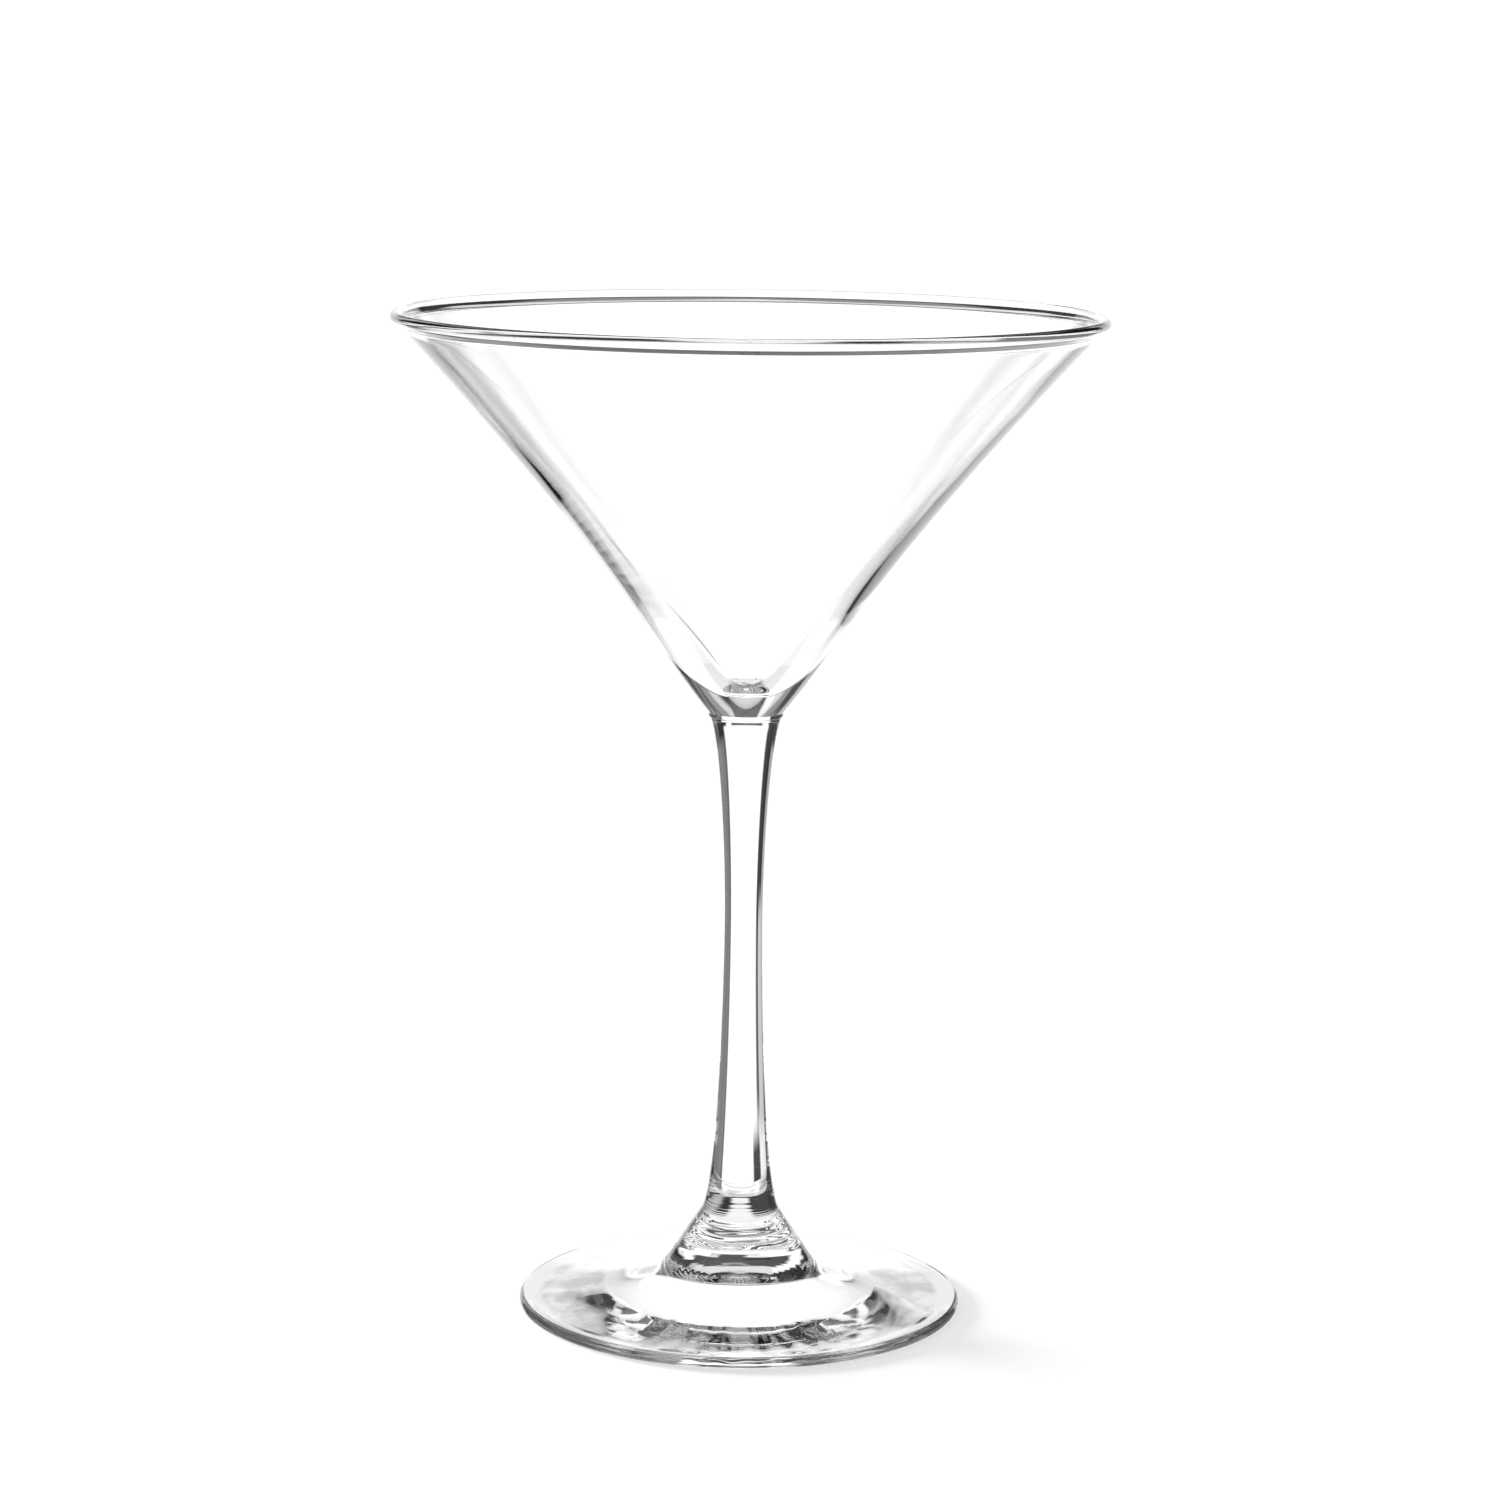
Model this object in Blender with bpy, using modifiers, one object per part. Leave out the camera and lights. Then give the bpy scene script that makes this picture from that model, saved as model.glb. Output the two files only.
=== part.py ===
"""A martini glass: a conical bowl fused to a drawn stem, and the stem fused to a hubbed round foot.

The glass stands on z = 0 with its axis on Z, in metres. Each of its three pieces is one turned shape: an
outline in the XZ plane that a Screw modifier sweeps round Z. An outline starts on the axis, goes up and out
over the top of its piece, and comes down its outer side. The pieces are melted together on the real glass,
so here they meet face to face across a narrow clearance.
"""

import math

import bpy
from mathutils import Vector
from mathutils.geometry import interpolate_bezier

# Overall sizes
TOTAL_HEIGHT = 0.165
RIM_DIAMETER = 0.1158
FOOT_DIAMETER = 0.0734

# How the height is shared: the stem takes what the bowl and the foot leave
BOWL_HEIGHT = 0.0657
FOOT_HEIGHT = 0.0190

# The two fused joints
BOWL_JOINT_DIAMETER = 0.0119
FOOT_JOINT_DIAMETER = 0.0113
JOINT_CLEARANCE = 0.0003

# Bowl
LIP_THICKNESS = 0.0019
WALL_AT_RIM = 0.0010
WALL_AT_BASE = 0.0025
BOWL_FLOOR_THICKNESS = 0.0061
BOWL_FLOOR_DIAMETER = 0.0050
BOWL_FLOOR_ROUNDING = 0.0030
BOWL_COLLAR_HEIGHT = 0.0007
BOWL_COLLAR_LEDGE = 0.0002

# Stem
STEM_WAIST_DIAMETER = 0.0063

# Foot
HUB_NECK_HEIGHT = 0.0030
HUB_NECK_FLARE = 0.00095
HUB_BASE_HEIGHT = 0.0083
HUB_BASE_DIAMETER = 0.0232
FOOT_TOP_DIAMETER = 0.0300
FOOT_TOP_HEIGHT = 0.0057
FOOT_EDGE_THICKNESS = 0.0019
RESTING_RING_WIDTH = 0.0016
HOLLOW_EDGE_DIAMETER = 0.0436
HOLLOW_EDGE_HEIGHT = 0.0004
HOLLOW_DEPTH = 0.0064

# How far the bowl's outer curve runs straight out of each end, as shares of its flare and of its rise
FLARE_AT_STEM = (0.195, 0.186)
FLARE_AT_RIM = (0.765, 0.66)

# Where the waist lies, as a share of the way up the stem
WAIST_PLACE = 0.575

# The inner handles of the stem's two curves: how far they lie towards the waist or away from it, as shares
STEM_TOP_HANDLE = (0.64, 0.115)
WAIST_UPPER_HANDLE = 0.64
WAIST_LOWER_HANDLE = 0.255
STEM_BOTTOM_HANDLE = (0.28, 0.836)

# The inner handles of the foot's curves, as shares of the way from one end to the other
NECK_HANDLES = ((0.25, 0.4), (0.5, 0.8))
FOOT_TOP_HANDLES = ((0.3, 0.52), (0.65, 0.86))
HOLLOW_HANDLES = ((0.4, 0.15), (0.58, 1))

# How the fillet leaves the hub and reaches the foot's top, as shares of half its width
FILLET_LEAVING = 0.6
FILLET_ARRIVING = 0.35

# Finish of the glass
GLASS_IOR = 1.52
GLASS_ROUGHNESS = 0.02
BOWL_TINT = (0.98, 0.985, 0.985, 1)
STEM_AND_FOOT_TINT = (0.97, 0.98, 0.98, 1)

# Facets
SEGMENTS = 64
WALL_STEPS = 12
STEM_STEPS = 9
LIP_STEPS = 8
NECK_STEPS = 3
FILLET_STEPS = 5
FOOT_TOP_STEPS = 6
FOOT_EDGE_STEPS = 6
HOLLOW_STEPS = 8
MERGE_DISTANCE = 0.00001


def mix(start, end, share):
    """The value that lies a share of the way from start to end."""
    return start + (end - start) * share


def between(start, end, shares):
    """The point that lies these shares of the way from start to end, across and in height."""
    return (mix(start[0], end[0], shares[0]), mix(start[1], end[1], shares[1]))


def curve(start, start_handle, end_handle, end, steps):
    """Points along a Bezier curve in (radius, height), with both ends."""
    knots = [Vector((point[0], point[1])) for point in (start, start_handle, end_handle, end)]
    return [(point.x, point.y) for point in interpolate_bezier(*knots, steps + 1)]


def handled_curve(start, end, handles, steps):
    """Points along a Bezier curve whose inner knots are given as shares of the way from start to end."""
    return curve(start, between(start, end, handles[0]), between(start, end, handles[1]), end, steps)


def arc(centre, radius, start_angle, end_angle, steps):
    """Points along a circular arc in (radius, height), with both ends."""
    points = []
    for step in range(steps + 1):
        angle = mix(start_angle, end_angle, step / steps)
        points.append((centre[0] + radius * math.cos(angle), centre[1] + radius * math.sin(angle)))
    return points


def bowl_outline():
    """The cavity from its floor up, the fire-polished lip, and the flared outer side down to the stem."""
    joint_height = TOTAL_HEIGHT - BOWL_HEIGHT + JOINT_CLEARANCE / 2
    collar_top = joint_height + BOWL_COLLAR_HEIGHT
    collar_radius = BOWL_JOINT_DIAMETER / 2 + BOWL_COLLAR_LEDGE
    lip_radius = LIP_THICKNESS / 2
    lip_centre = (RIM_DIAMETER / 2 - lip_radius, TOTAL_HEIGHT - lip_radius)

    # The outer side, from the collar to the lip, as the four knots of one curve
    flare = lip_centre[0] - collar_radius
    rise = lip_centre[1] - collar_top
    lean = math.atan2(FLARE_AT_RIM[0] * flare, FLARE_AT_RIM[1] * rise)
    outward = (math.cos(lean), -math.sin(lean))
    outer_top = (
        lip_centre[0] + outward[0] * WALL_AT_RIM / 2,
        lip_centre[1] + outward[1] * WALL_AT_RIM / 2,
    )
    outer_knots = [
        (collar_radius, collar_top),
        (collar_radius + FLARE_AT_STEM[0] * flare, collar_top + FLARE_AT_STEM[1] * rise),
        (outer_top[0] - FLARE_AT_RIM[0] * flare, outer_top[1] - FLARE_AT_RIM[1] * rise),
        outer_top,
    ]

    # The inner side follows it one wall further in, down to the rounded edge of the floor
    floor_height = joint_height + BOWL_FLOOR_THICKNESS
    floor_radius = BOWL_FLOOR_DIAMETER / 2
    inner_top = (outer_top[0] - outward[0] * WALL_AT_RIM, outer_top[1] - outward[1] * WALL_AT_RIM)
    inner_middle = (
        outer_knots[2][0] - outward[0] * WALL_AT_BASE,
        outer_knots[2][1] - outward[1] * WALL_AT_BASE,
    )
    inner_knots = [
        (floor_radius, floor_height),
        (floor_radius + BOWL_FLOOR_ROUNDING, floor_height),
        inner_middle,
        inner_top,
    ]

    lip_sink = math.asin(WALL_AT_RIM / LIP_THICKNESS)
    wall_angle = math.pi / 2 - lean
    lip = arc(
        lip_centre, lip_radius, wall_angle + math.pi - lip_sink, wall_angle - math.pi + lip_sink, LIP_STEPS
    )

    outline = [(0, floor_height)]
    outline += curve(*inner_knots, WALL_STEPS)
    outline += lip
    outline += reversed(curve(*outer_knots, WALL_STEPS))
    outline += [(collar_radius, joint_height), (0, joint_height)]
    return outline


def stem_outline():
    """A drawn stem, thinnest at its waist, that flares a little into the foot and quickly into the bowl."""
    top = (BOWL_JOINT_DIAMETER / 2, TOTAL_HEIGHT - BOWL_HEIGHT - JOINT_CLEARANCE / 2)
    bottom = (FOOT_JOINT_DIAMETER / 2, FOOT_HEIGHT + JOINT_CLEARANCE / 2)
    waist = (STEM_WAIST_DIAMETER / 2, mix(bottom[1], top[1], WAIST_PLACE))

    upper = curve(
        top,
        between(top, waist, STEM_TOP_HANDLE),
        (waist[0], mix(top[1], waist[1], WAIST_UPPER_HANDLE)),
        waist,
        STEM_STEPS,
    )
    lower = curve(
        waist,
        (waist[0], mix(waist[1], bottom[1], WAIST_LOWER_HANDLE)),
        between(waist, bottom, STEM_BOTTOM_HANDLE),
        bottom,
        STEM_STEPS,
    )
    return [(0, top[1])] + upper + lower[1:] + [(0, bottom[1])]


def foot_outline():
    """A shallow hollow underneath, then the joint face, the hub, the sloping top and the rounded edge."""
    joint_edge = (FOOT_JOINT_DIAMETER / 2, FOOT_HEIGHT - JOINT_CLEARANCE / 2)
    shoulder = (FOOT_JOINT_DIAMETER / 2 + HUB_NECK_FLARE, FOOT_HEIGHT - HUB_NECK_HEIGHT)
    hub_base = (HUB_BASE_DIAMETER / 2, HUB_BASE_HEIGHT)
    top_start = (FOOT_TOP_DIAMETER / 2, FOOT_TOP_HEIGHT)
    edge_radius = FOOT_EDGE_THICKNESS / 2
    edge_centre = (FOOT_DIAMETER / 2 - edge_radius, edge_radius)
    top_end = (edge_centre[0], FOOT_EDGE_THICKNESS)
    ring_inner = (edge_centre[0] - RESTING_RING_WIDTH, 0)
    hollow_edge = (HOLLOW_EDGE_DIAMETER / 2, HOLLOW_EDGE_HEIGHT)
    hollow_top = (0, HOLLOW_DEPTH)

    # The fillet leaves the hub along the cone's own line and reaches the foot's top along the top's line
    skirt_slope = (shoulder[1] - hub_base[1]) / (hub_base[0] - shoulder[0])
    run = (top_start[0] - hub_base[0]) / 2
    fillet = curve(
        hub_base,
        (hub_base[0] + run * FILLET_LEAVING, hub_base[1] - run * FILLET_LEAVING * skirt_slope),
        (top_start[0] - run, top_start[1] + run * FILLET_ARRIVING),
        top_start,
        FILLET_STEPS,
    )

    outline = [(0, joint_edge[1])]
    outline += handled_curve(joint_edge, shoulder, NECK_HANDLES, NECK_STEPS)
    outline += fillet
    outline += handled_curve(top_start, top_end, FOOT_TOP_HANDLES, FOOT_TOP_STEPS)[1:]
    outline += arc(edge_centre, edge_radius, math.pi / 2, -math.pi / 2, FOOT_EDGE_STEPS)[1:]
    outline += [ring_inner]
    outline += handled_curve(hollow_edge, hollow_top, HOLLOW_HANDLES, HOLLOW_STEPS)
    return outline


def make_glass(name, tint):
    """Clear glass, smooth enough to gleam."""
    material = bpy.data.materials.new(name)
    material.use_nodes = True
    shader = material.node_tree.nodes["Principled BSDF"]
    shader.inputs["Base Color"].default_value = tint
    shader.inputs["Metallic"].default_value = 0
    shader.inputs["Roughness"].default_value = GLASS_ROUGHNESS
    shader.inputs["Transmission Weight"].default_value = 1
    shader.inputs["IOR"].default_value = GLASS_IOR
    return material


def make_turned(name, outline, material, collection):
    """One closed solid, swept round Z from its outline."""
    mesh = bpy.data.meshes.new(name)
    edges = [(index, index + 1) for index in range(len(outline) - 1)]
    mesh.from_pydata([(radius, 0, height) for radius, height in outline], edges, [])
    mesh.materials.append(material)
    piece = bpy.data.objects.new(name, mesh)
    collection.objects.link(piece)
    screw = piece.modifiers.new("Turn", "SCREW")
    screw.axis = "Z"
    screw.angle = math.tau
    screw.steps = SEGMENTS
    screw.render_steps = SEGMENTS
    screw.use_merge_vertices = True
    screw.merge_threshold = MERGE_DISTANCE
    screw.use_smooth_shade = True
    return piece


def main():
    for old in list(bpy.data.objects):
        bpy.data.objects.remove(old, do_unlink=True)
    collection = bpy.data.collections.new("martini_glass")
    bpy.context.scene.collection.children.link(collection)

    make_turned("bowl", bowl_outline(), make_glass("bowl_glass", BOWL_TINT), collection)
    make_turned("stem", stem_outline(), make_glass("stem_glass", STEM_AND_FOOT_TINT), collection)
    make_turned("foot", foot_outline(), make_glass("foot_glass", STEM_AND_FOOT_TINT), collection)


main()
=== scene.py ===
"""The looks of a clear martini glass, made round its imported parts.

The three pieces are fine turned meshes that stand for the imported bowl, stem and foot. The glass of each
piece runs on into the next through a clear face, as where glass is melted to glass. It stands on a pale floor
in front of a white backdrop, and the camera alone sees both. What the glass reflects and bends is a dark
studio with soft white and grey panels, which draw its edges.
"""

import math

import bpy
import numpy as np
from mathutils import Matrix, Vector


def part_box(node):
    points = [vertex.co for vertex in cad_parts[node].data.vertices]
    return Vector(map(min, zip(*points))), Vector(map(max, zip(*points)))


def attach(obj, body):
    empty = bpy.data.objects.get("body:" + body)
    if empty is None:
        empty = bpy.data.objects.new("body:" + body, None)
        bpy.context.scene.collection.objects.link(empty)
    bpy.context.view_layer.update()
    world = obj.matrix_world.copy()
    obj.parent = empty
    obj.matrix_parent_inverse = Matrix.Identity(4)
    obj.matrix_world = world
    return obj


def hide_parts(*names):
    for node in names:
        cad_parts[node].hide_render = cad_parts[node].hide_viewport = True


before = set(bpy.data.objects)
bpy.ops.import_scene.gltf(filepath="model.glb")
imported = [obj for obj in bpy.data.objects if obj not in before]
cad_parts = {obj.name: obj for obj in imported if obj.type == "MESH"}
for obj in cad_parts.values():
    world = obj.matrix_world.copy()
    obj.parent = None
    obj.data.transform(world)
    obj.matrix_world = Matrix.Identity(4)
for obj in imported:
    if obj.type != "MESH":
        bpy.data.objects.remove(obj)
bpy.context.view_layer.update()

# ---------------------------------------------------------------------------------------------------------
# Sizes, in metres, where a pair is (radius, height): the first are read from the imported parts, and the
# others are as the parts have them
# ---------------------------------------------------------------------------------------------------------

bowl_low, bowl_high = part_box("bowl")
stem_low, stem_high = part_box("stem")
_, foot_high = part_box("foot")

TOTAL_HEIGHT = bowl_high.z
RIM_RADIUS = bowl_high.x
FOOT_RADIUS = foot_high.x
BOWL_JOINT_HEIGHT = (bowl_low.z + stem_high.z) / 2
FOOT_JOINT_HEIGHT = (stem_low.z + foot_high.z) / 2
BOWL_JOINT_RADIUS = stem_high.x
FOOT_JOINT_RADIUS = 0.00565
STEM_WAIST_RADIUS = 0.00315

LIP_RADIUS = 0.00095
WALL_AT_RIM = 0.0010
WALL_AT_BASE = 0.0025
BOWL_FLOOR_THICKNESS = 0.0061
BOWL_FLOOR_RADIUS = 0.0025
BOWL_FLOOR_ROUNDING = 0.0030
COLLAR_HEIGHT = 0.0007
COLLAR_LEDGE = 0.0002

HUB_NECK_HEIGHT = 0.0030
HUB_NECK_FLARE = 0.00095
HUB_BASE = (0.0116, 0.0083)
FOOT_TOP = (0.0150, 0.0057)
FOOT_EDGE_THICKNESS = 0.0019
RESTING_RING_WIDTH = 0.0016
HOLLOW_EDGE = (0.0218, 0.0004)
HOLLOW_DEPTH = 0.0064

# How far the inner handles of the bowl's flare lie from its lower and its upper end, as shares of its width
# and height
FLARE_AT_STEM = (0.195, 0.186)
FLARE_AT_RIM = (0.765, 0.66)

# How far up the stem its waist is, as a share
WAIST_PLACE = 0.575

# The inner handles of the stem's two curves, as shares of the way down from one end of the curve to the other
STEM_TOP_HANDLE = (0.64, 0.115)
WAIST_UPPER_HANDLE = 0.64
WAIST_LOWER_HANDLE = 0.255
STEM_BOTTOM_HANDLE = (0.28, 0.836)

# The inner handles of the foot's curves, as shares of the way from one end to the other
NECK_HANDLES = ((0.25, 0.4), (0.5, 0.8))
FOOT_TOP_HANDLES = ((0.3, 0.52), (0.65, 0.86))
HOLLOW_HANDLES = ((0.4, 0.15), (0.58, 1))

# How the fillet leaves the hub and reaches the foot's top, as shares of half its width
FILLET_LEAVING = 0.6
FILLET_ARRIVING = 0.35

# How far below the lip the wall swells into it, and the collar's rounded corner
LIP_SWELL_LENGTH = 0.0013
COLLAR_CORNER = 0.00012

# The pieces stop this far short of the plane where they join, and the bowl's clear face stops this far inside
# the stem's edge
JOINT_SPLIT = 0.00001
CLEAR_FACE_INSET = 0.00001

# How finely each stretch of an outline is divided
BOWL_FLOOR_STEPS = 24
BOWL_WALL_STEPS = 190
LIP_STEPS = 40
COLLAR_STEPS = 4
CORNER_STEPS = 6
STEM_UPPER_STEPS = 80
STEM_LOWER_STEPS = 90
NECK_STEPS = 16
SKIRT_STEPS = 30
FILLET_STEPS = 24
FOOT_TOP_STEPS = 70
FOOT_EDGE_STEPS = 24
RESTING_RING_STEPS = 4
UNDERSIDE_STEPS = 50
HOLLOW_STEPS = 70

# How many flats go round the axis, and the sharpest edge that is still shaded smooth
SEGMENTS = 288
BOWL_SEGMENTS = 200
SMOOTH_ANGLE = math.radians(40)

# Points and heights nearer than these are one, and a face is level when its normal is this upright
SAME_POINT = 1e-7
SAME_HEIGHT = 1e-6
LEVEL = 0.999

# ---------------------------------------------------------------------------------------------------------
# Outlines: arrays of (radius, height), from the axis over the top, down the outer side and back to the axis
# ---------------------------------------------------------------------------------------------------------


def curve(knots, steps):
    """Points along the Bezier curve with these four knots, closer together near both ends."""
    share = (1 - np.cos(np.linspace(0, math.pi, steps + 1))) / 2
    share = share[:, None]
    a, b, c, d = (np.array(knot, float) for knot in knots)
    rest = 1 - share
    return rest**3 * a + 3 * rest**2 * share * b + 3 * rest * share**2 * c + share**3 * d


def arc(centre, radius, start_angle, end_angle, steps):
    """Points along a circular arc."""
    angles = np.linspace(start_angle, end_angle, steps + 1)
    return np.column_stack((centre[0] + radius * np.cos(angles), centre[1] + radius * np.sin(angles)))


def line(start, end, steps):
    """Points along a straight line."""
    share = np.linspace(0, 1, steps + 1)[:, None]
    return np.array(start) * (1 - share) + np.array(end) * share


def mix(start, end, share):
    """The value that lies a share of the way from start to end."""
    return start + (end - start) * share


def between(start, end, shares):
    """The point that lies these shares of the way from start to end, across and in height."""
    return (mix(start[0], end[0], shares[0]), mix(start[1], end[1], shares[1]))


def handled_curve(start, end, handles, steps):
    """Points along a Bezier curve whose inner knots are given as shares of the way from start to end."""
    return curve([start, between(start, end, handles[0]), between(start, end, handles[1]), end], steps)


def normals_left(points):
    """Unit vectors to the left of the way along the points."""
    along = np.gradient(points, axis=0)
    along /= np.linalg.norm(along, axis=1)[:, None]
    return np.column_stack((-along[:, 1], along[:, 0]))


def lengths_from_end(points):
    """How far along the curve each point is from its last point."""
    steps = np.linalg.norm(np.diff(points, axis=0), axis=1)
    return np.append(np.cumsum(steps[::-1])[::-1], 0)


def lengths_from_start(points):
    """How far along the curve each point is from its first point."""
    return np.append(0, np.cumsum(np.linalg.norm(np.diff(points, axis=0), axis=1)))


def chain(*stretches):
    """One outline of several stretches, with repeated points left out."""
    points = np.vstack(stretches)
    keep = np.append(True, np.linalg.norm(np.diff(points, axis=0), axis=1) > SAME_POINT)
    return points[keep]


def bowl_outline():
    """The cavity from its floor up, the rounded lip, the flared outer side and the collar."""
    bottom = BOWL_JOINT_HEIGHT + JOINT_SPLIT
    collar_radius = BOWL_JOINT_RADIUS + COLLAR_LEDGE
    collar_top = BOWL_JOINT_HEIGHT + COLLAR_HEIGHT
    floor_height = BOWL_JOINT_HEIGHT + BOWL_FLOOR_THICKNESS
    lip_centre = np.array((RIM_RADIUS - LIP_RADIUS, TOTAL_HEIGHT - LIP_RADIUS))

    flare = lip_centre[0] - collar_radius
    rise = lip_centre[1] - collar_top
    lean = math.atan2(FLARE_AT_RIM[0] * flare, FLARE_AT_RIM[1] * rise)
    outward = np.array((math.cos(lean), -math.sin(lean)))
    outer_top = lip_centre + outward * WALL_AT_RIM / 2
    outer_middle = outer_top - np.array((FLARE_AT_RIM[0] * flare, FLARE_AT_RIM[1] * rise))
    inner_top = lip_centre - outward * WALL_AT_RIM / 2
    outer = curve(
        [
            (collar_radius, collar_top),
            (collar_radius + FLARE_AT_STEM[0] * flare, collar_top + FLARE_AT_STEM[1] * rise),
            outer_middle,
            outer_top,
        ],
        BOWL_WALL_STEPS,
    )
    inner = curve(
        [
            (BOWL_FLOOR_RADIUS, floor_height),
            (BOWL_FLOOR_RADIUS + BOWL_FLOOR_ROUNDING, floor_height),
            outer_middle - outward * WALL_AT_BASE,
            inner_top,
        ],
        BOWL_WALL_STEPS,
    )
    # The wall swells into the lip on both sides
    swell = LIP_RADIUS - WALL_AT_RIM / 2
    for side, way in ((outer, -1), (inner, 1)):
        amount = swell * np.exp(-((lengths_from_end(side) / LIP_SWELL_LENGTH) ** 2))
        side += way * normals_left(side) * amount[:, None]
    corner_centre = (collar_radius - COLLAR_CORNER, bottom + COLLAR_CORNER)
    return chain(
        line((0, floor_height), (BOWL_FLOOR_RADIUS, floor_height), BOWL_FLOOR_STEPS),
        inner,
        arc(lip_centre, LIP_RADIUS, math.pi - lean, -lean, LIP_STEPS),
        outer[::-1],
        line((collar_radius, collar_top), (collar_radius, corner_centre[1]), COLLAR_STEPS),
        arc(corner_centre, COLLAR_CORNER, 0, -math.pi / 2, CORNER_STEPS),
        [(BOWL_JOINT_RADIUS - CLEAR_FACE_INSET, bottom)],
        [(0, bottom)],
    )


def stem_outline():
    """A drawn stem, thinnest at its waist."""
    top = BOWL_JOINT_HEIGHT - JOINT_SPLIT
    bottom = FOOT_JOINT_HEIGHT + JOINT_SPLIT
    waist = (STEM_WAIST_RADIUS, mix(bottom, top, WAIST_PLACE))
    upper = curve(
        [
            (BOWL_JOINT_RADIUS, top),
            between((BOWL_JOINT_RADIUS, top), waist, STEM_TOP_HANDLE),
            (waist[0], mix(top, waist[1], WAIST_UPPER_HANDLE)),
            waist,
        ],
        STEM_UPPER_STEPS,
    )
    lower = curve(
        [
            waist,
            (waist[0], mix(waist[1], bottom, WAIST_LOWER_HANDLE)),
            between(waist, (FOOT_JOINT_RADIUS, bottom), STEM_BOTTOM_HANDLE),
            (FOOT_JOINT_RADIUS, bottom),
        ],
        STEM_LOWER_STEPS,
    )
    return chain([(0, top)], upper, lower, [(0, bottom)])


def foot_outline():
    """The hub, the sloping top, the rounded edge, the resting ring and the hollow."""
    top = FOOT_JOINT_HEIGHT - JOINT_SPLIT
    shoulder = (FOOT_JOINT_RADIUS + HUB_NECK_FLARE, FOOT_JOINT_HEIGHT - HUB_NECK_HEIGHT)
    edge_radius = FOOT_EDGE_THICKNESS / 2
    edge_centre = (FOOT_RADIUS - edge_radius, edge_radius)
    top_end = (edge_centre[0], FOOT_EDGE_THICKNESS)
    ring_end = (edge_centre[0] - RESTING_RING_WIDTH, 0)
    skirt_slope = (shoulder[1] - HUB_BASE[1]) / (HUB_BASE[0] - shoulder[0])
    run = (FOOT_TOP[0] - HUB_BASE[0]) / 2
    leaving = run * FILLET_LEAVING
    fillet = curve(
        [
            HUB_BASE,
            (HUB_BASE[0] + leaving, HUB_BASE[1] - leaving * skirt_slope),
            (FOOT_TOP[0] - run, FOOT_TOP[1] + run * FILLET_ARRIVING),
            FOOT_TOP,
        ],
        FILLET_STEPS,
    )
    return chain(
        [(0, top)],
        handled_curve((FOOT_JOINT_RADIUS, top), shoulder, NECK_HANDLES, NECK_STEPS),
        line(shoulder, HUB_BASE, SKIRT_STEPS),
        fillet,
        handled_curve(FOOT_TOP, top_end, FOOT_TOP_HANDLES, FOOT_TOP_STEPS),
        arc(edge_centre, edge_radius, math.pi / 2, -math.pi / 2, FOOT_EDGE_STEPS),
        line((edge_centre[0], 0), ring_end, RESTING_RING_STEPS),
        line(ring_end, HOLLOW_EDGE, UNDERSIDE_STEPS),
        handled_curve(HOLLOW_EDGE, (0, HOLLOW_DEPTH), HOLLOW_HANDLES, HOLLOW_STEPS),
    )


# ---------------------------------------------------------------------------------------------------------
# Meshes
# ---------------------------------------------------------------------------------------------------------


def turned(name, outline, clear_faces, materials, ripple=None, segments=SEGMENTS):
    """A closed turned mesh.

    Level faces at the heights in clear_faces, out to the radius given with each, take the second material.
    """
    inner = outline[1:-1]
    angles = np.linspace(0, math.tau, segments, endpoint=False)
    rings = np.empty((len(inner), segments, 3))
    rings[:, :, 0] = inner[:, 0, None] * np.cos(angles)
    rings[:, :, 1] = inner[:, 0, None] * np.sin(angles)
    rings[:, :, 2] = inner[:, 1, None]
    if ripple is not None:
        rings = ripple(rings, inner, angles)
    start_cap = len(inner) * segments
    end_cap = start_cap + 1
    verts = np.vstack((rings.reshape(-1, 3), [(0, 0, outline[0][1])], [(0, 0, outline[-1][1])]))
    here = np.arange(segments)
    after = (here + 1) % segments
    faces = [[start_cap, int(i), int(j)] for i, j in zip(here, after)]
    for row in range(len(inner) - 1):
        low, high = row * segments, (row + 1) * segments
        faces += np.column_stack((low + here, high + here, high + after, low + after)).tolist()
    last = (len(inner) - 1) * segments
    faces += [[end_cap, int(last + j), int(last + i)] for i, j in zip(here, after)]
    mesh = bpy.data.meshes.new(name)
    mesh.from_pydata(verts.tolist(), [], faces)
    for material in materials:
        mesh.materials.append(material)
    mesh.shade_smooth()
    mesh.set_sharp_from_angle(angle=SMOOTH_ANGLE)
    centres = of_each_face(mesh, "center")
    normals = of_each_face(mesh, "normal")
    level = np.abs(normals[:, 2]) > LEVEL
    out = np.hypot(centres[:, 0], centres[:, 1])
    slots = np.zeros(len(mesh.polygons), int)
    for height, radius in clear_faces:
        slots[level & (np.abs(centres[:, 2] - height) < SAME_HEIGHT) & (out < radius)] = 1
    mesh.polygons.foreach_set("material_index", slots)
    mesh.update()
    piece = bpy.data.objects.new(name, mesh)
    bpy.context.scene.collection.objects.link(piece)
    return piece


def of_each_face(mesh, what):
    """A three-part value of each face, such as its centre, as one row of an array."""
    values = np.empty(len(mesh.polygons) * 3)
    mesh.polygons.foreach_get(what, values)
    return values.reshape(-1, 3)


# ---------------------------------------------------------------------------------------------------------
# Unevenness of the glass
# ---------------------------------------------------------------------------------------------------------

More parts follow.
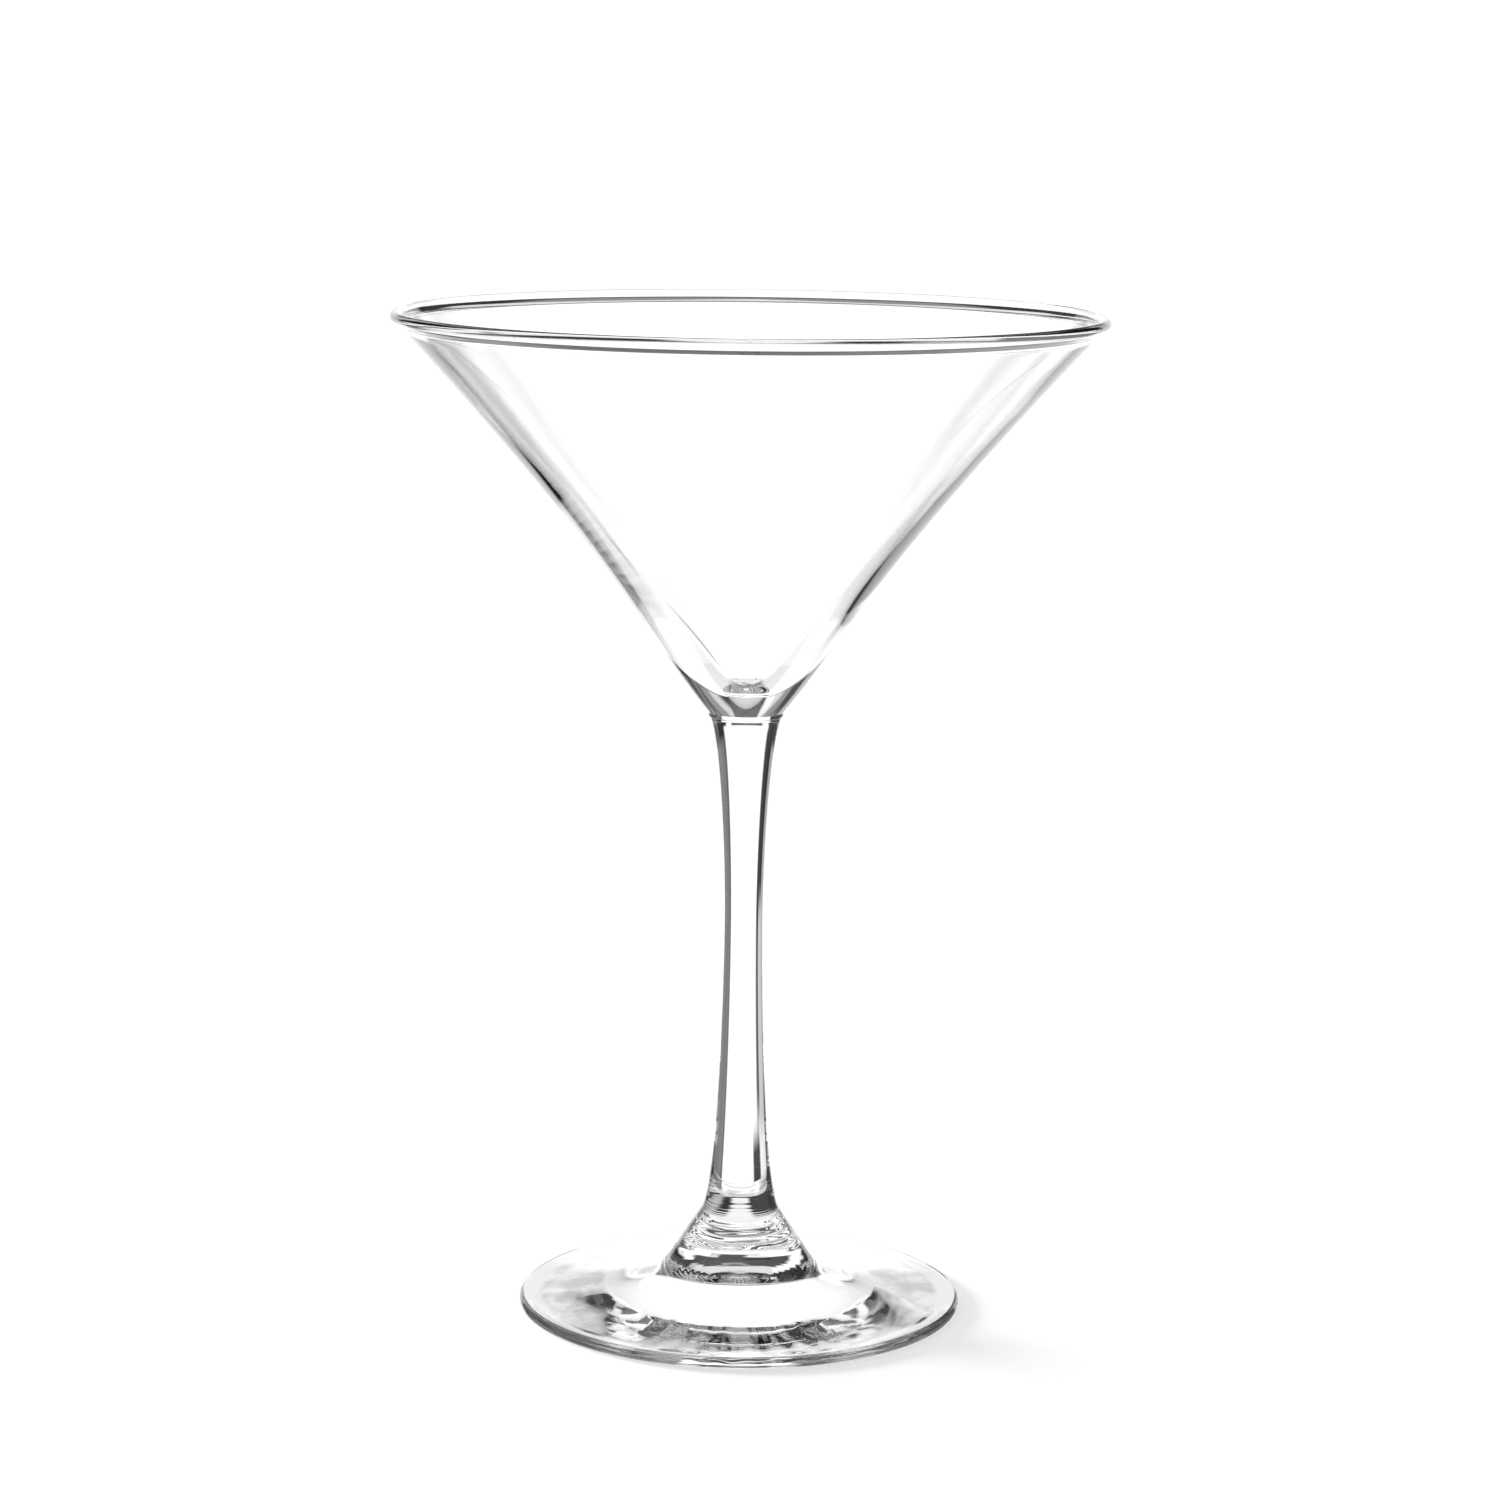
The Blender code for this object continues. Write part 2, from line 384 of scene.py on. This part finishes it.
# Each wave pattern: its height in metres, or in radians for HUB_WANDER, its seed, how many waves it sums, how
# many of each go round the axis, and how fast each goes along the outline, in radians a metre
UNDERSIDE_WAVES = (0.000030, 4, 12, (2, 13), (-500, 500))
UNDERSIDE_STREAKS = (0.000016, 5, 8, (24, 60), (-300, 300))
HUB_WANDER = (0.5, 7, 5, (1, 5), (-200, 200))
FOOT_TOP_WAVES = (0.000010, 11, 10, (3, 15), (-400, 400))
BOWL_WALL_WAVES = (0.000018, 21, 12, (2, 9), (-260, 260))
BOWL_FLOOR_SPOT = (0.00003, 23, 10, (0, 5), (-5200, 5200))

# The turning rings on the hub, whose phase wanders by HUB_WANDER
HUB_RING_PITCH = 0.00135
HUB_RING_HEIGHT = 0.000016

# Where each pattern starts and stops, in metres, as the ends of a ramp up and of a ramp down. The spot on the
# bowl's floor has the ramp down alone.
UNDERSIDE_BAND = ((0.0205, 0.0225), (0.0325, 0.0338))
HUB_BAND = ((0.0078, 0.0095), (0.0150, 0.0163))
FOOT_TOP_BAND = ((0.013, 0.017), (0.0325, 0.0355))
BOWL_WALL_BAND = ((0.004, 0.012), (0.045, 0.052))
BOWL_SPOT_EDGE = (0.0022, 0.0027)

# The streaks lie on the foot's -Y side, from nothing to full between these cosines of the angle away from -Y
STREAK_SIDE = (0.7, 0.95)


def waves(pattern, angles, lengths):
    """A smooth random pattern over (lengths, angles) that joins up round the axis."""
    height, seed, count, around, along = pattern
    random = np.random.default_rng(seed)
    total = np.zeros((len(lengths), len(angles)))
    for _ in range(count):
        turns = random.integers(around[0], around[1] + 1) * random.choice((-1, 1))
        pace = random.uniform(*along)
        phase = random.uniform(0, math.tau)
        total += np.cos(turns * angles[None, :] + pace * lengths[:, None] + phase)
    return height * total / math.sqrt(count)


def ramp(values, start, end):
    """Rises smoothly from 0 to 1 as values go from start to end."""
    share = np.clip((values - start) / (end - start), 0, 1)
    return share * share * (3 - 2 * share)


def band(values, ends):
    """1 between the two ramps that ends gives, and 0 outside them."""
    return ramp(values, *ends[0]) * (1 - ramp(values, *ends[1]))


def push(rings, inner, amount):
    """Moves each point of the rings along its outline's normal."""
    normals = normals_left(inner)
    out = np.hypot(rings[:, :, 0], rings[:, :, 1])
    shift = amount * normals[:, 0, None] / out
    rings[:, :, 0] += rings[:, :, 0] * shift
    rings[:, :, 1] += rings[:, :, 1] * shift
    rings[:, :, 2] += amount * normals[:, 1, None]
    return rings


def ripple_foot(rings, inner, angles):
    """Turning rings on the hub, waves in the foot's top, and the uneven underside of a pressed foot."""
    radius, height = inner[:, 0], inner[:, 1]
    lengths = lengths_from_start(inner)
    under = np.arange(len(inner)) > np.argmax(radius)
    underside = (under * band(radius, UNDERSIDE_BAND))[:, None]
    streak_side = ramp(-np.sin(angles), *STREAK_SIDE)
    hub = (~under * band(height, HUB_BAND))[:, None]
    top = (~under * band(radius, FOOT_TOP_BAND))[:, None]

    amount = underside * waves(UNDERSIDE_WAVES, angles, lengths)
    amount += underside * streak_side * waves(UNDERSIDE_STREAKS, angles, lengths)
    turning = lengths[:, None] * math.tau / HUB_RING_PITCH + waves(HUB_WANDER, angles, lengths)
    amount += hub * HUB_RING_HEIGHT * np.cos(turning)
    amount += top * waves(FOOT_TOP_WAVES, angles, lengths)
    return push(rings, inner, amount)


def ripple_bowl(rings, inner, angles):
    """Slight waves down the inner wall, and the rough spot on the cavity's floor."""
    radius = inner[:, 0]
    lengths = lengths_from_start(inner)
    inside = np.arange(len(inner)) < np.argmax(radius)
    wall = (inside * band(radius, BOWL_WALL_BAND))[:, None]
    spot = (inside * (1 - ramp(radius, *BOWL_SPOT_EDGE)))[:, None]
    amount = wall * waves(BOWL_WALL_WAVES, angles, lengths) + spot * waves(BOWL_FLOOR_SPOT, angles, lengths)
    return push(rings, inner, amount)


# ---------------------------------------------------------------------------------------------------------
# Materials
# ---------------------------------------------------------------------------------------------------------

GLASS_IOR = 1.52
WHITE = (1, 1, 1, 1)
FAINT_TINT = (0.985, 0.993, 0.99, 1)
STAIN_GREY = (0.5, 0.5, 0.5, 1)

# Noise patterns: cycles a metre, detail, roughness and seed, which is added to the material's own
SKIN_NOISE = (55, 2, 0.5, 0)
MARK_NOISE = (140, 5, 0.6, 1)
POUR_NOISE = (20, 2, 0.5, 2)
CLOUD_NOISE = (95, 6, 0.65, 3)
SPECK_NOISE = (900, 2, 0.5, 4)

# The values of the noise between which each effect grows from nothing to full
MARK_RANGE = (0.62, 0.80)
POUR_RANGE = (0.35, 0.65)
CLOUD_RANGE = (0.40, 0.60)
SPECK_RANGE = (0.66, 0.72)

SKIN_STRENGTH = 0.25
SKIN_HEIGHT = 0.00006
MARK_ROUGHNESS = 0.05
STAIN_ROUGHNESS = 0.06

# Where the foot is stained, in metres: between two radii with ends this soft, and growing between two heights
STAINED_RING = (0.0222, 0.0328, 0.0016)
STAINED_HEIGHTS = (0.0016, 0.0008)


class Nodes:
    """Short calls that add nodes to a tree."""

    def __init__(self, tree):
        self.tree = tree

    def add(self, kind, **values):
        """A new node of this kind, with these settings."""
        node = self.tree.nodes.new(kind)
        for key, value in values.items():
            setattr(node, key, value)
        return node

    def feed(self, socket, value):
        """Links another node's output to the socket, or sets the socket to a plain value."""
        if isinstance(value, bpy.types.NodeSocket):
            self.tree.links.new(value, socket)
        else:
            socket.default_value = value

    def math(self, operation, *values):
        """The result of one operation on these values."""
        node = self.add("ShaderNodeMath", operation=operation)
        for socket, value in zip(node.inputs, values):
            self.feed(socket, value)
        return node.outputs[0]

    def step(self, value, start, end):
        """Rises smoothly from 0 to 1 as value goes from start to end."""
        node = self.add("ShaderNodeMapRange", interpolation_type="SMOOTHSTEP")
        self.feed(node.inputs["Value"], value)
        node.inputs["From Min"].default_value = start
        node.inputs["From Max"].default_value = end
        return node.outputs["Result"]

    def noise(self, place, pattern, seed):
        """A smooth random pattern, mostly between 0.3 and 0.7."""
        scale, detail, roughness, own_seed = pattern
        node = self.add("ShaderNodeTexNoise", noise_dimensions="4D")
        self.tree.links.new(place, node.inputs["Vector"])
        node.inputs["W"].default_value = seed + own_seed
        node.inputs["Scale"].default_value = scale
        node.inputs["Detail"].default_value = detail
        node.inputs["Roughness"].default_value = roughness
        return node.outputs["Fac"]

    def blend(self, share, first, second):
        """The first colour where share is 0, and the second where it is 1."""
        node = self.add("ShaderNodeMix", data_type="RGBA")
        factor, a, b = (socket for socket in node.inputs if socket.enabled)
        self.feed(factor, share)
        self.feed(a, first)
        self.feed(b, second)
        return next(socket for socket in node.outputs if socket.enabled)

    def window(self, value, low, high, soft):
        """1 where value lies between low and high, and 0 outside, with soft ends."""
        rise = self.step(value, low - soft / 2, low + soft / 2)
        fall = self.step(value, high - soft / 2, high + soft / 2)
        return self.math("SUBTRACT", rise, fall)


def make_glass(name, seed, stained=False):
    """Soda glass: clear, with a breath of tint, a few slightly dull marks and a slightly uneven skin.

    The foot's is stained as well.
    """
    material = bpy.data.materials.new(name)
    material.use_nodes = True
    tree = material.node_tree
    nodes = Nodes(tree)
    shader = tree.nodes["Principled BSDF"]
    shader.inputs["IOR"].default_value = GLASS_IOR
    shader.inputs["Transmission Weight"].default_value = 1.0
    place = nodes.add("ShaderNodeTexCoord").outputs["Object"]

    # The skin: slow waves, as a mould leaves them
    bump = nodes.add("ShaderNodeBump")
    bump.inputs["Strength"].default_value = SKIN_STRENGTH
    bump.inputs["Distance"].default_value = SKIN_HEIGHT
    tree.links.new(nodes.noise(place, SKIN_NOISE, seed), bump.inputs["Height"])
    tree.links.new(bump.outputs["Normal"], shader.inputs["Normal"])

    # Handling marks: small, slightly dull patches, and the rest polished
    marks = nodes.step(nodes.noise(place, MARK_NOISE, seed), *MARK_RANGE)
    roughness = nodes.math("MULTIPLY", marks, MARK_ROUGHNESS)

    # The tint comes and goes slowly
    pour = nodes.step(nodes.noise(place, POUR_NOISE, seed), *POUR_RANGE)
    colour = nodes.blend(pour, WHITE, FAINT_TINT)

    if stained:
        roughness, colour = add_stains(nodes, place, seed, roughness, colour)
    tree.links.new(roughness, shader.inputs["Roughness"])
    tree.links.new(colour, shader.inputs["Base Color"])
    return material


def add_stains(nodes, place, seed, roughness, colour):
    """Dull grey clouds with clear specks, under the foot between its resting ring and its hollow."""
    parts = nodes.add("ShaderNodeSeparateXYZ")
    nodes.feed(parts.inputs[0], place)
    x, y, z = parts.outputs
    squares = nodes.math("ADD", nodes.math("MULTIPLY", x, x), nodes.math("MULTIPLY", y, y))
    ring = nodes.window(nodes.math("SQRT", squares), *STAINED_RING)
    under = nodes.step(z, *STAINED_HEIGHTS)
    cloud = nodes.step(nodes.noise(place, CLOUD_NOISE, seed), *CLOUD_RANGE)
    specks = nodes.step(nodes.noise(place, SPECK_NOISE, seed), *SPECK_RANGE)
    stain = nodes.math("MULTIPLY", nodes.math("MULTIPLY", ring, under), cloud)
    dried = nodes.math("MULTIPLY", stain, nodes.math("SUBTRACT", 1.0, specks))
    roughness = nodes.math("ADD", roughness, nodes.math("MULTIPLY", stain, STAIN_ROUGHNESS))
    return roughness, nodes.blend(dried, colour, STAIN_GREY)


def make_melt():
    """The clear face where one piece's glass runs on into the next."""
    material = bpy.data.materials.new("melted_joint")
    material.use_nodes = True
    tree = material.node_tree
    tree.nodes.remove(tree.nodes["Principled BSDF"])
    clear = tree.nodes.new("ShaderNodeBsdfTransparent")
    tree.links.new(clear.outputs["BSDF"], tree.nodes["Material Output"].inputs["Surface"])
    return material


# ---------------------------------------------------------------------------------------------------------
# Studio
# ---------------------------------------------------------------------------------------------------------

DARK_WALLS = 0.03

# What the glass reflects and bends: the dark walls, and panels in front of them as (azimuths, elevations,
# softness, brightness), with angles in degrees as seen from the glass. Azimuth 0 is the far side, and 90 the
# right. A later panel covers the ones before it. They are placed for the reflections that this camera sees,
# with white ones where views from the side, from behind and from above look through the glass.
PANELS = [
    ((-181, 181), (48, 91), 12, 0.3),
    ((-45, 45), (31, 91), 8, 0.85),
    ((72, 152), (-60, 12), 10, 0.5),
    ((-62, 66), (-91, -42), 10, 0.95),
    ((-181, 181), (-91, -76), 8, 1.0),
    ((34, 76), (-44, 4), 4, 0.2),
    ((-82, -52), (-20, 4), 4, 0.5),
    ((-60, -30), (-40, -19), 5, 1.0),
    ((-64, -40), (-22, -11), 3, 0.7),
    ((-40, -28), (-20, -13), 3, 0.12),
    ((-100, -81), (-13, 7), 5, 1.0),
    ((122, 148), (-28, -3), 6, 1.0),
    ((-19, 19), (10, 39), 4, 0.10),
    ((-31, 31), (-46, 11), 5, 1.3),
    ((-32, -21), (8, 42), 5, 1.2),
    ((18, 26), (8, 20), 4, 1.2),
    ((-12, -2), (18, 26), 3, 0.03),
    ((-36, -20), (-34, -21), 4, 0.05),
]

FLOOR_RADIUS = 11
FLOOR_VERTICES = 128
FLOOR_DROP = 0.0001
FLOOR_COLOUR = (0.8, 0.8, 0.8, 1)
FLOOR_GLOW = 0.6

LAMP_ENERGY = 3.8
LAMP_ANGLE = math.radians(22)
LAMP_FROM = Vector((-0.79, 0.5, 0.27))

CAMERA_PLACE = (0, -0.6725, 0.2118)
CAMERA_LENS = 100.2
CAMERA_SENSOR = 36
CAMERA_CLIP = (0.01, 100)
CAMERA_PITCH = math.radians(9.97)
CAMERA_YAW = math.radians(0.062)
CAMERA_ROLL = math.radians(0.69)


def make_studio():
    """The walls and panels as a world of light, with a white backdrop for the camera alone."""
    world = bpy.data.worlds.new("studio")
    world.use_nodes = True
    bpy.context.scene.world = world
    tree = world.node_tree
    nodes = Nodes(tree)
    way = nodes.add("ShaderNodeTexCoord").outputs["Generated"]
    parts = nodes.add("ShaderNodeSeparateXYZ")
    tree.links.new(way, parts.inputs[0])
    x, y, z = parts.outputs
    azimuth = nodes.math("DEGREES", nodes.math("ARCTAN2", x, y))
    elevation = nodes.math("DEGREES", nodes.math("ARCSINE", z))
    light = DARK_WALLS
    for azimuths, elevations, soft, brightness in PANELS:
        across = nodes.window(azimuth, azimuths[0], azimuths[1], soft)
        up = nodes.window(elevation, elevations[0], elevations[1], soft)
        share = nodes.math("MULTIPLY", across, up)
        blend = nodes.add("ShaderNodeMix", data_type="FLOAT")
        nodes.feed(blend.inputs["Factor"], share)
        nodes.feed(blend.inputs["A"], light)
        nodes.feed(blend.inputs["B"], brightness)
        light = blend.outputs["Result"]
    # Wherever the camera looks straight at it, the world is at least plain white
    seen = nodes.add("ShaderNodeLightPath").outputs["Is Camera Ray"]
    light = nodes.math("MAXIMUM", light, seen)
    backdrop = tree.nodes["Background"]
    backdrop.inputs["Color"].default_value = WHITE
    tree.links.new(light, backdrop.inputs["Strength"])


def make_floor():
    """A wide pale floor that glows a little, and that the camera alone sees."""
    bpy.ops.mesh.primitive_circle_add(
        vertices=FLOOR_VERTICES, radius=FLOOR_RADIUS, fill_type="NGON", location=(0, 0, -FLOOR_DROP)
    )
    floor = bpy.context.active_object
    floor.name = "floor"
    material = bpy.data.materials.new("floor_white")
    material.use_nodes = True
    shader = material.node_tree.nodes["Principled BSDF"]
    shader.inputs["Base Color"].default_value = FLOOR_COLOUR
    shader.inputs["Roughness"].default_value = 1.0
    shader.inputs["Specular IOR Level"].default_value = 0.0
    shader.inputs["Emission Color"].default_value = WHITE
    shader.inputs["Emission Strength"].default_value = FLOOR_GLOW
    floor.data.materials.append(material)
    floor.visible_transmission = False
    floor.visible_glossy = False


def make_lamp(foot):
    """A soft low lamp, left and behind. Only the foot throws its shadow, and the glass doesn't mirror it."""
    lamp = bpy.data.objects.new("lamp", bpy.data.lights.new("lamp", "SUN"))
    bpy.context.scene.collection.objects.link(lamp)
    lamp.data.energy = LAMP_ENERGY
    lamp.data.angle = LAMP_ANGLE
    lamp.rotation_euler = LAMP_FROM.to_track_quat("Z", "Y").to_euler()
    lamp.visible_glossy = False
    lamp.visible_transmission = False
    blockers = bpy.data.collections.new("lamp_blockers")
    blockers.objects.link(foot)
    lamp.light_linking.blocker_collection = blockers


def make_camera():
    """The viewpoint: in front of the glass and above its rim, looking down, with a slight yaw and roll."""
    camera = bpy.data.objects.new("camera", bpy.data.cameras.new("camera"))
    bpy.context.scene.collection.objects.link(camera)
    camera.data.lens = CAMERA_LENS
    camera.data.sensor_width = CAMERA_SENSOR
    camera.data.clip_start, camera.data.clip_end = CAMERA_CLIP
    across = math.cos(CAMERA_PITCH)
    ahead = Vector((math.sin(CAMERA_YAW) * across, math.cos(CAMERA_YAW) * across, -math.sin(CAMERA_PITCH)))
    right = Vector((math.cos(CAMERA_YAW), -math.sin(CAMERA_YAW), 0))
    up = right.cross(ahead)
    turned_right = right * math.cos(CAMERA_ROLL) + up * math.sin(CAMERA_ROLL)
    turned_up = up * math.cos(CAMERA_ROLL) - right * math.sin(CAMERA_ROLL)
    facing = Matrix((turned_right, turned_up, -ahead)).transposed().to_4x4()
    camera.matrix_world = Matrix.Translation(CAMERA_PLACE) @ facing
    bpy.context.scene.camera = camera


# ---------------------------------------------------------------------------------------------------------
# The glass in its studio
# ---------------------------------------------------------------------------------------------------------

LIGHT_BOUNCES = 32
BOWL_SEED, STEM_SEED, FOOT_SEED = 1, 11, 21

# The stem's and the foot's faces at a joint are clear right out to their edges
ANY_RADIUS = 1

scene = bpy.context.scene
scene.view_settings.view_transform = "Standard"
scene.cycles.max_bounces = LIGHT_BOUNCES
scene.cycles.transmission_bounces = LIGHT_BOUNCES
scene.cycles.glossy_bounces = LIGHT_BOUNCES
scene.cycles.transparent_max_bounces = LIGHT_BOUNCES

melt = make_melt()
bowl = turned(
    "martini_bowl",
    bowl_outline(),
    [(BOWL_JOINT_HEIGHT + JOINT_SPLIT, BOWL_JOINT_RADIUS)],
    [make_glass("bowl_glass_clear", BOWL_SEED), melt],
    ripple_bowl,
    BOWL_SEGMENTS,
)
stem = turned(
    "martini_stem",
    stem_outline(),
    [(BOWL_JOINT_HEIGHT - JOINT_SPLIT, ANY_RADIUS), (FOOT_JOINT_HEIGHT + JOINT_SPLIT, ANY_RADIUS)],
    [make_glass("stem_glass_clear", STEM_SEED), melt],
)
foot = turned(
    "martini_foot",
    foot_outline(),
    [(FOOT_JOINT_HEIGHT - JOINT_SPLIT, ANY_RADIUS)],
    [make_glass("foot_glass_clear", FOOT_SEED, stained=True), melt],
    ripple_foot,
)
for piece, node in ((bowl, "bowl"), (stem, "stem"), (foot, "foot")):
    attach(piece, "root")
    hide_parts(node)

make_studio()
make_floor()
make_lamp(foot)
make_camera()
